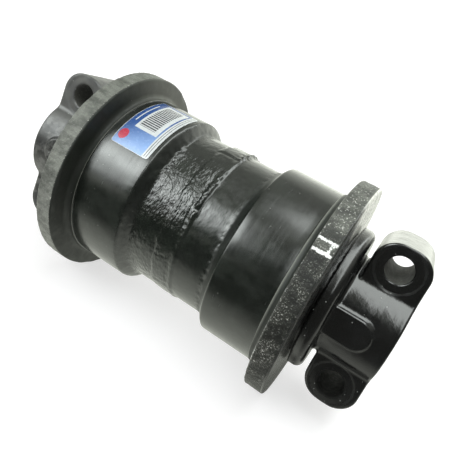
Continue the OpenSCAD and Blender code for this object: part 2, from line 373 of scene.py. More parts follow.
def side_paint():
    """Dull paint on the flanges' sides, with clouds of settled dust. Where haze is high it is light grey,
    which is painted light: over the upper part of the left flange's side, and a painted highlight along the
    step beside the right tread.
    """
    s = Surface("side_paint", IOR=1.5)
    cloud = s.remap(s.noise((20.0, 14.0, 14.0), 4.0), 0.35, 0.75, 0, 1)
    shade = s.blend(cloud, (0.0084, 0.0116, 0.00816), (0.012, 0.014, 0.01116))
    # Painted light: light grey where haze is high.
    shade = s.blend(s.attribute("haze"), shade, (0.21, 0.212, 0.185))
    specks = s.remap(s.specks(6.0), 0.03, 0.07, 1, 0)
    s.put("Base Color", s.blend(specks, shade, (0.14, 0.14, 0.125)))
    s.put("Roughness", s.remap(s.noise(8.0, 4.0), 0.3, 0.7, 0.46, 0.6))
    s.put("Normal", s.bump(s.noise(1.0, 3.0, 0.6), 0.06, s.bump(s.noise(5.0, 3.0), 0.15)))
    return s.material


def face_paint():
    """The turned outer faces: black paint, made cream where haze is high, which is a painted highlight over
    the upper part of each face.
    """
    s = Surface("face_paint", IOR=PAINT_IOR)
    haze = s.math("MULTIPLY", s.attribute("haze"), s.remap(s.noise(7.0, 4.0), 0.3, 0.6, 0.75, 1.0))
    cloud = s.remap(s.noise(12.0, 3.0), 0.35, 0.7, 0, 1)
    dark = s.blend(cloud, (0.006, 0.007, 0.006), (0.016, 0.017, 0.015))
    # Painted highlight: cream where haze is high.
    s.put("Base Color", s.blend(haze, dark, (0.86, 0.85, 0.79)))
    s.put("Roughness", s.remap(s.noise(4.0, 3.0), 0.3, 0.7, 0.22, 0.34))
    s.put("Normal", s.bump(s.noise(2.0, 3.0), 0.04))
    return s.material


def rim_paint():
    """Thin, knocked paint on the rough rims, specked with scale. It is dusty where haze is high, and metal
    shows where bare is high."""
    s = Surface("rim_paint", IOR=1.45)
    haze = s.attribute("haze")
    bare = s.attribute("bare")
    grit = s.noise(1.3, 4.0, 0.7)
    patch = s.noise((14.0, 9.0, 9.0), 5.0, 0.6)
    streaks = s.noise((9.0, 3.4, 3.4), 4.0, 0.65)
    base = s.blend(s.remap(patch, 0.35, 0.65, 0, 1), (0.003, 0.0034, 0.0024), (0.015, 0.0155, 0.0115))
    worn = s.math("MULTIPLY", s.remap(streaks, 0.3, 0.65, 0.72, 1.18), s.remap(patch, 0.3, 0.7, 0.62, 1.3))
    base = s.blend(s.math("MULTIPLY", haze, worn), base, (0.185, 0.192, 0.170))
    chips = s.remap(s.noise(1.15, 3.0, 0.9), 0.55, 0.66, 0, 1)
    chips = s.math("MULTIPLY", chips, s.remap(patch, 0.42, 0.56, 0.06, 1.0))
    chips = s.math("MULTIPLY", chips, s.remap(haze, 0.5, 0.85, 1.0, 0.2))
    base = s.blend(chips, base, (0.46, 0.46, 0.42))
    flakes = s.remap(s.noise(2.3, 2.0, 0.8), 0.60, 0.66, 0, 1)
    flakes = s.math("MULTIPLY", flakes, s.remap(haze, 0.2, 0.4, 0.08, 1.0))
    flakes = s.math("MULTIPLY", flakes, s.remap(haze, 0.5, 0.85, 1.0, 0.1))
    base = s.blend(flakes, base, (0.58, 0.58, 0.54))
    pits = s.remap(s.noise(1.3, 3.0, 0.9), 0.36, 0.44, 0.85, 0)
    pits = s.math("MULTIPLY", pits, s.remap(haze, 0.5, 0.85, 1.0, 0.3))
    base = s.blend(pits, base, (0.005, 0.005, 0.004))
    edge = s.math("ADD", bare, s.math("MULTIPLY", s.math("SUBTRACT", s.noise(1.5, 3.0, 0.7), 0.5), 1.5))
    metal = s.remap(edge, 0.5, 0.62, 0, 1)
    s.put("Base Color", s.blend(metal, base, (0.80, 0.80, 0.79)))
    s.put("Metallic", s.math("MULTIPLY", metal, 0.5))
    s.put("Roughness", s.remap(grit, 0.3, 0.7, 0.34, 0.6))
    s.put("Normal", s.bump(s.noise(0.7, 3.0, 0.7), 0.22, s.bump(s.noise(2.4, 3.0), 0.7)))
    return s.material


def gloss_paint(name, painted_light_amount):
    """Wet-looking black paint over a cast collar. A larger second argument makes the paint lighter grey and
    duller, which is painted light, as if the collar were more brightly lit.
    """
    s = Surface(name, IOR=PAINT_IOR)
    cloud = s.noise(16.0, 4.0)
    dust = s.remap(s.specks(7.0), 0.045, 0.085, 1, 0)
    # Painted light: both ends of the clouds get lighter as the amount rises, so a collar's paint comes out
    # lighter grey as if more brightly lit.
    haze = (0.0062 + 0.10 * painted_light_amount, 0.0064 + 0.10 * painted_light_amount, 0.0066 + 0.092 * painted_light_amount)
    shade = s.blend(s.remap(cloud, 0.35, 0.7, 0, 1), (0.0035 + 0.05 * painted_light_amount,) * 3, haze)
    # Painted shade: dark blotches where the attribute is high, over the lower far end of the left collar.
    shade_blotches = s.math("MULTIPLY", s.remap(s.noise(9.0, 5.0, 0.7), 0.43, 0.52, 0, 1), s.attribute("painted_shade_blotches"))
    shade = s.blend(shade_blotches, shade, (0.004, 0.004, 0.0045))
    s.put("Base Color", s.blend(dust, shade, (0.22, 0.23, 0.22)))
    dull = s.math("MULTIPLY", s.attribute("dull"), 0.16)
    sheen = s.remap(s.noise(5.0, 4.0), 0.3, 0.7, 0.10 + 0.25 * painted_light_amount, 0.19 + 0.3 * painted_light_amount)
    s.put("Roughness", s.math("ADD", sheen, dull))
    s.put("Normal", s.bump(s.noise(1.2, 3.0, 0.6), 0.04, s.bump(s.noise(4.0, 3.0), 0.12)))
    return s.material


def dull_paint(name, shade):
    """Thin, dry paint inside a bolt hole, with a little grit. Its shade is painted light and shade: lighter
    in the upper holes, as if lit, and near black in the lower ones, as if in shadow.
    """
    s = Surface(name, IOR=1.3)
    grit = s.remap(s.noise(1.4, 3.0, 0.7), 0.56, 0.66, 0, 1)
    light = (1.9 * shade, 1.9 * shade, 1.7 * shade)
    s.put("Base Color", s.blend(grit, (shade, shade, 0.92 * shade), light))
    s.put("Roughness", s.remap(s.noise(3.0, 3.0), 0.3, 0.7, 0.6, 0.85))
    s.put("Normal", s.bump(s.noise(1.1, 3.0, 0.6), 0.2))
    return s.material


def machined_steel(name, colour, axis=0, roughness=(0.22, 0.38)):
    """Turned or ground steel, with fine marks across one axis and a thin film of oil."""
    s = Surface(name, Metallic=1.0)
    stretch = [40.0, 40.0, 40.0]
    stretch[axis] = 0.3
    marks = s.noise(tuple(stretch), 2.0)
    dark = tuple(0.72 * c for c in colour)
    s.put("Base Color", s.blend(s.remap(s.noise(11.0, 4.0), 0.35, 0.7, 0, 1), dark, colour))
    s.put("Roughness", s.remap(s.noise(4.0, 4.0), 0.3, 0.7, *roughness))
    s.put("Normal", s.bump(marks, 0.02))
    return s.material


def seal_rubber():
    """Smooth black nitrile with a faint bloom."""
    s = Surface("seal_rubber")
    bloom = s.remap(s.noise(3.0, 4.0), 0.3, 0.7, 0, 1)
    s.put("Base Color", s.blend(bloom, (0.011, 0.011, 0.012), (0.03, 0.03, 0.031)))
    s.put("Roughness", s.remap(s.noise(1.5, 3.0), 0.3, 0.7, 0.42, 0.6))
    s.put("Normal", s.bump(s.noise(0.4, 2.0), 0.03))
    return s.material


def film(name, colour, tint=None):
    """Printed adhesive film. With a tint, the colour runs into it along the label's length."""
    s = Surface(name, Coat_Weight=0.5, Coat_Roughness=0.12)
    first = s.blend(s.remap(s.noise(7.0, 3.0), 0.3, 0.7, 0, 1), tuple(0.93 * c for c in colour), colour)
    if tint is not None:
        first = s.blend(s.attribute("print_fade"), first, tint)
    s.put("Base Color", first)
    s.put("Roughness", s.remap(s.noise(3.0, 3.0), 0.3, 0.7, 0.2, 0.3))
    s.put("Normal", s.bump(s.noise(6.0, 2.0), 0.1))
    return s.material


# ---- the shell ----

def rounded_outline(corners):
    """Points along a closed outline with corners of (x, radius, corner radius, step, zone), and their zones.

    A step is how far apart the points are. It and a zone belong to the stretch that leaves their corner.
    """
    points, zones = [], []
    count = len(corners)
    ends = []
    for i, (x, r, bend, step, zone) in enumerate(corners):
        at = np.array([x, r])
        if bend == 0:
            ends.append([at])
            continue
        u = np.array(corners[i - 1][:2]) - at
        v = np.array(corners[(i + 1) % count][:2]) - at
        u, v = u / np.linalg.norm(u), v / np.linalg.norm(v)
        half = math.acos(np.clip(u @ v, -1, 1)) / 2
        centre = at + (u + v) / np.linalg.norm(u + v) * bend / math.sin(half)
        first = at + u * bend / math.tan(half) - centre
        last = at + v * bend / math.tan(half) - centre
        start = math.atan2(first[1], first[0])
        turn = (math.atan2(last[1], last[0]) - start + 3 * math.pi) % (2 * math.pi) - math.pi
        pieces = max(3, math.ceil(abs(turn) * bend / step))
        angles = start + turn * np.arange(pieces + 1) / pieces
        ends.append([centre + bend * np.array([math.cos(a), math.sin(a)]) for a in angles])
    for i, (x, r, bend, step, zone) in enumerate(corners):
        points += ends[i]
        zones += [zone] * len(ends[i])
        start, stop = ends[i][-1], ends[(i + 1) % count][0]
        pieces = max(1, round(np.linalg.norm(stop - start) / step))
        for k in range(1, pieces):
            points.append(start + (stop - start) * k / pieces)
            zones.append(zone)
    return np.array(points), zones


FORGED, TREAD, RIM, FACE, INSIDE, SIDE = range(6)


def shell_outline():
    """The shell's closed outline in x and radius. The right half comes first, from the waist outwards."""
    half = [
        (SHOULDER_FOOT, WAIST_R, 4.0, 1.3, FORGED),
        (TREAD_START, TREAD_R, 2.2, 5.0, TREAD),
        (TREAD_STOP, TREAD_R, 0.15, 0.2, FORGED),
        (TREAD_STOP + TREAD_STEP, FORGED_R, 0.2, 1.5, SIDE),
        (RIM_START - FLANGE_DRAFT, FORGED_R, FLANGE_FILLET_R, 1.0, SIDE),
        (RIM_START, FLANGE_R, 1.5, 1.2, RIM),
        (SHELL_END, FLANGE_R, 1.5, 3.0, FACE),
        (SHELL_END, SEAL_MOUTH_R, 0.6, 4.0, INSIDE),
        (SEAL_HOUSING_START, SEAL_MOUTH_R, 0.0, 8.0, INSIDE),
        (SEAL_HOUSING_START, SEAL_HOUSING_R, 0.0, 12.0, INSIDE),
        (THRUST_FACE, SEAL_HOUSING_R, 0.0, 8.0, INSIDE),
        (THRUST_FACE, THRUST_POCKET_R, 0.0, 8.0, INSIDE),
        (THRUST_POCKET_START, THRUST_POCKET_R, 0.0, 8.0, INSIDE),
        (THRUST_POCKET_START, BUSHING_SEAT_R, 0.0, 50.0, INSIDE),
        (BUSHING_SEAT_START, BUSHING_SEAT_R, 0.0, 8.0, INSIDE),
        (BUSHING_SEAT_START, OIL_ROOM_R, 0.0, 50.0, INSIDE),
    ]
    mirrored = []
    for i in reversed(range(len(half))):
        x, r, bend = half[i][:3]
        step, zone = half[i - 1][3:] if i else (1.2, FORGED)
        mirrored.append((-x, r, bend, step, zone))
    return rounded_outline(half + mirrored)


def left_of_weld(x):
    return 1 - smooth_step(WELD_X - 1, WELD_X + 1, x)


def waist_relief(x, angle, points):
    """The waist's skin, hammered and fibrous on the left of the weld and nearly smooth on its right."""
    waist = 1 - smooth_step(SHOULDER_FOOT + 1, TREAD_START, np.abs(x))
    left_half = left_of_weld(x)
    calm = 1 - 0.85 * smooth_step(46.0, 62.0, angle) * (angle < 180)
    fine = noise(points, 3.0, 14) * 0.12 * (0.25 + 0.75 * left_half)
    swell = noise(points, 26.0, 13) * 0.35 * (0.5 + 0.5 * left_half)
    hammered = noise(points, (4.5, 3.2, 3.2), 11) * 0.55 + noise(points, (2.2, 1.7, 1.7), 12) * 0.35
    fibres = noise(points, (3.0, 7.0, 7.0), 26) * noise(points, 9.0, 27)
    rough = left_half * calm * (0.24 * hammered + 0.3 * fibres)
    return fine + waist * (swell + rough + 0.06 * (1 - left_half) * hammered)


def weld_relief(x, angle, points):
    """The raised band at the weld, a block of flash on it, and the bead with its lumps and its groove."""
    ragged = noise(points, (60.0, 7.0, 7.0), 15) * 1.6
    band = smooth_step(UPSET_START - 0.8, UPSET_START + 0.8, x + ragged)
    band = band * (1 - smooth_step(WELD_X + 1.0, WELD_X + 2.2, x + 0.4 * ragged))
    block = smooth_step(-14.0, -13.0, x) * (1 - smooth_step(WELD_X - 0.5, WELD_X + 0.5, x))
    block = block * smooth_step(73.0, 74.5, angle) * (1 - smooth_step(104.0, 106.0, angle))
    chunky = smooth_step(14.0, 28.0, angle) * (1 - smooth_step(48.0, 60.0, angle))
    chunky += 0.6 * smooth_step(72.0, 80.0, angle) * (1 - smooth_step(170.0, 190.0, angle))
    bead = np.exp(-((x - WELD_X - 0.9 * noise(points, 3.6, 17)) / 1.8) ** 2)
    lumps = noise(points, (3.0, 2.3, 2.3), 18) * (0.7 + 0.8 * noise(points, 9.0, 29))
    groove = np.exp(-((x - WELD_X + 3.2) / 1.0) ** 2) * (1 + noise(points, (40.0, 3.4, 3.4), 19))
    relief = band * (0.85 + 0.35 * noise(points, 12.0, 16))
    relief += block * (1.0 + 0.3 * noise(points, 6.0, 25))
    relief += bead * (0.2 + 0.9 * chunky + (0.2 + 3.4 * chunky) * lumps)
    return relief - groove * (0.25 + 0.4 * chunky)


def foot_relief(x, angle, points):
    """Crumbs of scale along the foot of the right shoulder, and along a stretch of the left one's."""
    crumbs = noise(points, (1.8, 1.5, 1.5), 20) + 0.5 * noise(points, (3.6, 3.0, 3.0), 28)
    upper = smooth_step(8.0, 24.0, angle) * (angle < 180)
    right_foot = np.exp(-((np.abs(x) - SHOULDER_FOOT + 1.0) / 2.6) ** 2) * (1 - left_of_weld(x))
    left_foot = np.exp(-((x + SHOULDER_FOOT - 2.0) / 2.4) ** 2)
    left_foot = left_foot * smooth_step(30.0, 40.0, angle) * (1 - smooth_step(54.0, 62.0, angle))
    return right_foot * (0.2 + (0.7 - 0.35 * upper) * crumbs) + left_foot * (0.4 + 0.9 * crumbs)


def rim_relief(angle, points):
    """Cut marks in the rims, which are shallower at the forging's parting lines."""
    relief = -0.28 * np.abs(noise(points, (9.0, 1.9, 1.9), 21)) - 0.3 * np.abs(noise(points, 2.2, 22))
    for parting in PARTING_ANGLES:
        distance = np.abs((angle - parting + 180) % 360 - 180)
        relief += 0.25 * (1 - smooth_step(3.0, 4.2, distance))
    return np.minimum(relief, 0.0)


def shell_relief(x, r, angle, points, zone):
    """How far each point of the shell stands out along its normal, in millimetres."""
    forged = (zone == FORGED) & (r > 60)
    skin = waist_relief(x, angle, points) + weld_relief(x, angle, points) + foot_relief(x, angle, points)
    side = 0.25 * noise(points, 14.0, 23) + 0.05 * noise(points, 4.0, 24)
    return np.select([forged, zone == SIDE, zone == RIM], [skin, side, rim_relief(angle, points)], 0.0)


def edge_nicks(x, r, points):
    """How much the corners of the rims are knocked back, in millimetres."""
    off_middle = np.abs(np.abs(x) - (RIM_START + SHELL_END) / 2)
    near_corner = smooth_step(6.5, 8.2, off_middle) * (r > FLANGE_R - 3)
    return near_corner * np.clip(noise(points, 9.0, 31) - 0.15, 0, 1) * 0.9


def add_shell_wear(made, x, r, angle, points, zone):
    """Where the shell's skin is rough, dusty or worn bare, and where light is painted on it, as the
    attributes that its materials read.
    """
    left_half = 1 - smooth_step(WELD_X - 1, WELD_X + 1.5, x)
    waist = 1 - smooth_step(SHOULDER_FOOT - 2, TREAD_START, np.abs(x))
    calm = 1 - 0.65 * smooth_step(48.0, 64.0, angle) * (angle < 180)
    add_attribute(made, "roughness_zone", 0.12 + waist * 0.88 * left_half * calm)
    foot = np.exp(-((np.abs(x) - SHOULDER_FOOT - 2.0) / 4.0) ** 2)
    add_attribute(made, "foot", foot * (r > 60))
    off = (angle - PARTING_ANGLES[0] + 180) % 360 - 180
    above = smooth_step(2.0, 12.0, off) * (1 - smooth_step(60.0, 90.0, off))
    inner_edge = np.exp(-((x - RIM_START) / 0.8) ** 2)
    right_rim = 0.05 + 0.40 * above + 0.3 * (np.abs(off) < 3.5) + 0.4 * inner_edge
    rims = np.where(x < 0, 0.85, right_rim)
    # On the outer faces, haze is a painted highlight: cream over an upper band of each face, with ragged
    # edges.
    ragged = off + 4.0 * noise(points, 16.0, 44)
    faces = 0.02 + 0.95 * smooth_step(17.0, 32.0, ragged) * (1 - smooth_step(100.0, 160.0, ragged))
    # On the sides, haze is painted light: light grey over the upper part of the left flange's side.
    left_side = 0.02 + 0.52 * smooth_step(15.0, 62.0, off) * (1 - smooth_step(90.0, 130.0, off))
    # A painted highlight: a thin light line along the step beside the right tread.
    step_highlight = np.exp(-((x - TREAD_STOP - 0.6) / 0.8) ** 2) * smooth_step(-85.0, -30.0, off)
    sides = np.maximum(np.where(x < 0, left_side, 0.03), step_highlight)
    add_attribute(made, "haze", np.where(zone == SIDE, sides, np.where(zone == FACE, faces, rims)))
    ridges = np.exp(-((off - 2.4) / 0.8) ** 2) + 0.95 * np.exp(-((off + 3.0) / 0.9) ** 2)
    bridge = 0.75 * np.exp(-((x - RIM_START - 11.5) / 1.8) ** 2) * (np.abs(off) < 3.0)
    to_edge = np.minimum(np.abs(x) - RIM_START, SHELL_END - np.abs(x))
    knocked = np.exp(-(to_edge / 0.9) ** 2) * (0.5 + 0.35 * noise(points, 7.0, 43))
    add_attribute(made, "bare", np.maximum(np.where(x > 0, np.maximum(ridges, bridge), 0.0), knocked))


def shell():
    """The shell, as its outline swept round the shaft axis and pushed in and out by the relief."""
    outline, zones = shell_outline()
    rings = len(outline)
    sides = SHELL_POINTS // rings
    before, after = np.roll(outline, 1, axis=0), np.roll(outline, -1, axis=0)
    along = after - before
    normal = np.stack([-along[:, 1], along[:, 0]], axis=1)
    normal /= np.linalg.norm(normal, axis=1, keepdims=True)
    turn = np.arange(sides) / sides * 2 * math.pi
    x = np.repeat(outline[:, 0], sides)
    r = np.repeat(outline[:, 1], sides)
    nx = np.repeat(normal[:, 0], sides)
    nr = np.repeat(normal[:, 1], sides)
    zone = np.repeat(zones, sides)
    theta = np.tile(turn, rings)
    points = np.stack([x, -r * np.cos(theta), r * np.sin(theta)], axis=1)
    foot_shift = noise(points, (200.0, 34.0, 34.0), 41) * 2.0 + noise(points, (200.0, 5.0, 5.0), 42) * 0.3
    near_foot = np.exp(-((x + SHOULDER_FOOT + 1) / 5.0) ** 2) * (r > 60) * (r < TREAD_R - 0.5)
    x = x + near_foot * foot_shift
    relief = shell_relief(x, r, np.degrees(theta), points, zone) - edge_nicks(x, r, points)
    x = x + nx * relief
    r = r + nr * relief
    x = np.clip(x, -SHELL_END, SHELL_END)
    r = np.minimum(r, FLANGE_R)
    points = np.stack([x, -r * np.cos(theta), r * np.sin(theta)], axis=1)
    ring, side = np.divmod(np.arange(rings * sides), sides)
    next_ring, next_side = (ring + 1) % rings, (side + 1) % sides
    faces = np.stack([
        ring * sides + side,
        ring * sides + next_side,
        next_ring * sides + next_side,
        next_ring * sides + side,
    ], axis=1)
    made = make_object(
        "shell",
        points,
        faces,
        [
            forged_paint(),
            tread_paint(),
            rim_paint(),
            face_paint(),
            machined_steel("shell_bores", (0.36, 0.36, 0.35)),
            side_paint(),
        ],
        zone,
    )
    add_shell_wear(made, x, r, np.degrees(theta), points, zone)
    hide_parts("roller_shell")
    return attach(made, "roller")


# ---- the collars ----

def collar_distance(p):
    """Distance to the surface of the right collar, below zero inside it. p holds points in millimetres."""
    x, y, z = p[:, 0], p[:, 1], p[:, 2]
    rho = np.hypot(y, z)
    disc = round_overlap(round_overlap(rho - DISC_R, x - DISC_END, 6.5), DISC_START - x, 1.2)
    hub = round_overlap(rho - HUB_R, x - COLLAR_END, 1.5)
    hub = np.maximum(hub, DISC_START - x)
    body = round_union(disc, hub, 3.0)
    neck = round_overlap(rho - NECK_R, np.maximum(NECK_START - x, x - DISC_START - 1), 1.0)
    body = np.minimum(body, neck)
    centre_x = (EAR_START + COLLAR_END) / 2
    qx = np.abs(x - centre_x) - (COLLAR_END - EAR_START) / 2 + EAR_CORNER_R
    qz = np.abs(z) - EAR_Z + EAR_CORNER_R
    ear_outline = np.hypot(np.maximum(qx, 0), np.maximum(qz, 0)) + np.minimum(np.maximum(qx, qz), 0)
    ears = round_overlap(ear_outline - EAR_CORNER_R, BOLT_FACE_Y - y, 1.8)
    ears = np.maximum(ears, y - MOUNT_FACE_Y - 2)
    body = round_union(body, ears, 2.0)
    boss_half = BOSS_ROOT_W / 2 + BOSS_FLARE * (y - BOSS_ROOT_Y)
    stadium = np.hypot(np.maximum(x - PIN_X, 0) + np.minimum(x - DISC_START, 0), z) - boss_half
    boss = round_overlap(stadium, -HUB_R - BOSS_H - y, 1.1)
    boss = np.maximum(boss, y + 20.0)
    body = round_union(body, boss, 1.6)
    pocket = np.maximum(np.maximum(x - SEAL_POCKET_END, rho - SEAL_HOUSING_R), SLEEVE_R - rho)
    body = round_cut(body, pocket, 0.5)
    sleeve = round_overlap(rho - SLEEVE_R, np.maximum(COLLAR_START - x, x - SLEEVE_END), 0.8)
    body = np.minimum(body, sleeve)
    mount_cut = np.maximum(MOUNT_FACE_Y - y, MOUNT_FACE_START - x)
    body = round_cut(body, mount_cut, 0.6)
    body = round_cut(body, rho - SHAFT_BORE_R, 0.8)
    hole = np.hypot(x - HOLE_X, np.abs(z) - HOLE_Z)
    spot = np.maximum(hole - SPOT_R, y - BOLT_FACE_Y - SPOT_DEPTH)
    body = round_cut(body, spot, 0.2)
    body = round_cut(body, hole - HOLE_R, 1.2)
    pin = np.maximum(np.hypot(x - PIN_X, z) - PIN_HOLE_R, PIN_HOLE_END_Y - y)
    return round_cut(body, pin, 0.5)


def collar_gradient(p, reach=0.05):
    slopes = []
    for axis in range(3):
        offset = np.zeros(3)
        offset[axis] = reach
        slopes.append((collar_distance(p + offset) - collar_distance(p - offset)) / (2 * reach))
    return np.stack(slopes, axis=1)


def surface_net(distance, low, high, step):
    """A closed quad mesh where the distance field crosses zero: one point in each crossed cell."""
    axes = [np.arange(a - 2 * step, b + 3 * step, step) for a, b in zip(low, high)]
    shape = tuple(len(a) for a in axes)
    values = np.empty(shape)
    for i, x in enumerate(axes[0]):
        gy, gz = np.meshgrid(axes[1], axes[2], indexing="ij")
        plane = np.stack([np.full(gy.size, x), gy.ravel(), gz.ravel()], axis=1)
        values[i] = distance(plane).reshape(gy.shape)
    inside = values < 0
    total = np.zeros(tuple(n - 1 for n in shape) + (3,))
    hits = np.zeros(tuple(n - 1 for n in shape))
    edges = []
    for axis in range(3):
        lower = [slice(None)] * 3
        upper = [slice(None)] * 3
        lower[axis], upper[axis] = slice(None, -1), slice(1, None)
        a, b = values[tuple(lower)], values[tuple(upper)]
        crossing = inside[tuple(lower)] != inside[tuple(upper)]
        at = np.argwhere(crossing)
        share = (a / np.where(a == b, 1, a - b))[crossing]
        where = at.astype(float)
        where[:, axis] += share
        edges.append((axis, at, inside[tuple(lower)][crossing]))
        others = [k for k in range(3) if k != axis]
        for da in (0, 1):
            for db in (0, 1):
                cell = at.copy()
                cell[:, others[0]] -= da
                cell[:, others[1]] -= db
                np.add.at(total, tuple(cell.T), where)
                np.add.at(hits, tuple(cell.T), 1)
    used = hits > 0
    number = np.full(used.shape, -1)
    number[used] = np.arange(used.sum())
    grid = total[used] / hits[used][:, None]
    points = grid * step + np.array([a[0] for a in axes])
    faces = []
    for axis, at, starts_inside in edges:
        u, v = [(1, 2), (2, 0), (0, 1)][axis]
        quad = []
        for du, dv in ((1, 1), (0, 1), (0, 0), (1, 0)):
            cell = at.copy()
            cell[:, u] -= du
            cell[:, v] -= dv
            quad.append(number[tuple(cell.T)])
        quad = np.stack(quad, axis=1)
        quad[~starts_inside] = quad[~starts_inside][:, ::-1]
        faces.append(quad)
    return points, np.concatenate(faces)


def collar_mesh():
    """The right collar's points, faces and normals: the net drawn onto the distance field's zero."""
    low = np.array([COLLAR_START, -DISC_R, -EAR_Z])
    high = np.array([COLLAR_END, DISC_R, EAR_Z])
    points, faces = surface_net(collar_distance, low, high, 1.0)
    for _ in range(4):
        slope = collar_gradient(points)
        length = np.maximum((slope ** 2).sum(axis=1, keepdims=True), 0.2)
        points = points - np.clip(collar_distance(points)[:, None] * slope / length, -0.6, 0.6)
    return points, faces, collar_gradient(points)


def collar(name, side, mesh, haze, seed):
    """One collar. The left one is the right one's mirror image, with a skin of its own. Its haze lightens its
    paint, which is painted light.
    """
    points, faces, normals = (a.copy() for a in mesh)
    normals /= np.maximum(np.linalg.norm(normals, axis=1, keepdims=True), 1e-6)
    x, y, z = points.T
    rho = np.hypot(y, z)
    hole = np.hypot(x - HOLE_X, np.abs(z) - HOLE_Z)
    machined = (x < DISC_START + 1) | (rho < 31) | (hole < HOLE_R + 0.5)
    machined |= (hole < SPOT_R + 0.6) & (y < BOLT_FACE_Y + 1.5)
    cast = np.where(machined, 0.0, 1 - smooth_step(MOUNT_FACE_Y - 2.5, MOUNT_FACE_Y - 1.0, y))
    skin = 0.05 * noise(points, 3.4, seed) + 0.16 * noise(points, 12.0, seed + 1)
    points = points - normals * (cast * (0.14 - skin * 0.6))[:, None]
    points[:, 0] = np.clip(points[:, 0], COLLAR_START, COLLAR_END)
    points[:, 2] = np.clip(points[:, 2], -EAR_Z, EAR_Z)
    if side < 0:
        points[:, 0] *= -1
        faces = faces[:, ::-1]
    steel = machined_steel(name + "_machined", (0.30, 0.30, 0.29))
    centre = points[faces].mean(axis=1)
    finish = np.where(np.hypot(centre[:, 1], centre[:, 2]) < 30.4, 1, 0)
    off_hole = np.hypot(np.abs(centre[:, 0]) - HOLE_X, np.abs(centre[:, 2]) - HOLE_Z)
    # Painted light and shade: the hole walls get a lighter dull paint, as if lit, and the lower holes with
    # their mouths a near-black one, as if in shadow.
    finish[(off_hole < HOLE_R + 0.35) & (centre[:, 1] > BOLT_FACE_Y + SPOT_DEPTH + 0.9)] = 2
    finish[(off_hole < HOLE_R + 2.0) & (centre[:, 2] < 0)] = 3
    made = make_object(
        name,
        points,
        faces,
        [
            gloss_paint(name + "_paint", haze),
            steel,
            dull_paint(name + "_upper_holes_painted_light", 0.10),
            dull_paint(name + "_lower_holes_painted_shade", 0.008),
        ],
        finish,
    )
    on_disc = 1 - smooth_step(DISC_END - 1.0, DISC_END + 1.5, x)
    spot_step = np.exp(-((hole - SPOT_R) / 1.2) ** 2) * (y < BOLT_FACE_Y + 3)
    add_attribute(made, "dull", np.maximum(0.3 * on_disc, 1.4 * spot_step))
    # Painted shade: dark blotches over the lower part of the left collar's far end.
    far_side = smooth_step(HOLE_X - 20.0, HOLE_X - 6.0, np.abs(points[:, 0]))
    far_side *= 1 - smooth_step(18.0, 30.0, points[:, 2])
    add_attribute(made, "painted_shade_blotches", 0.9 * far_side if side < 0 else np.zeros(len(points)))
    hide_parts(name.replace("_casting", "_collar"))
    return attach(made, "axle")


# ---- the label ----

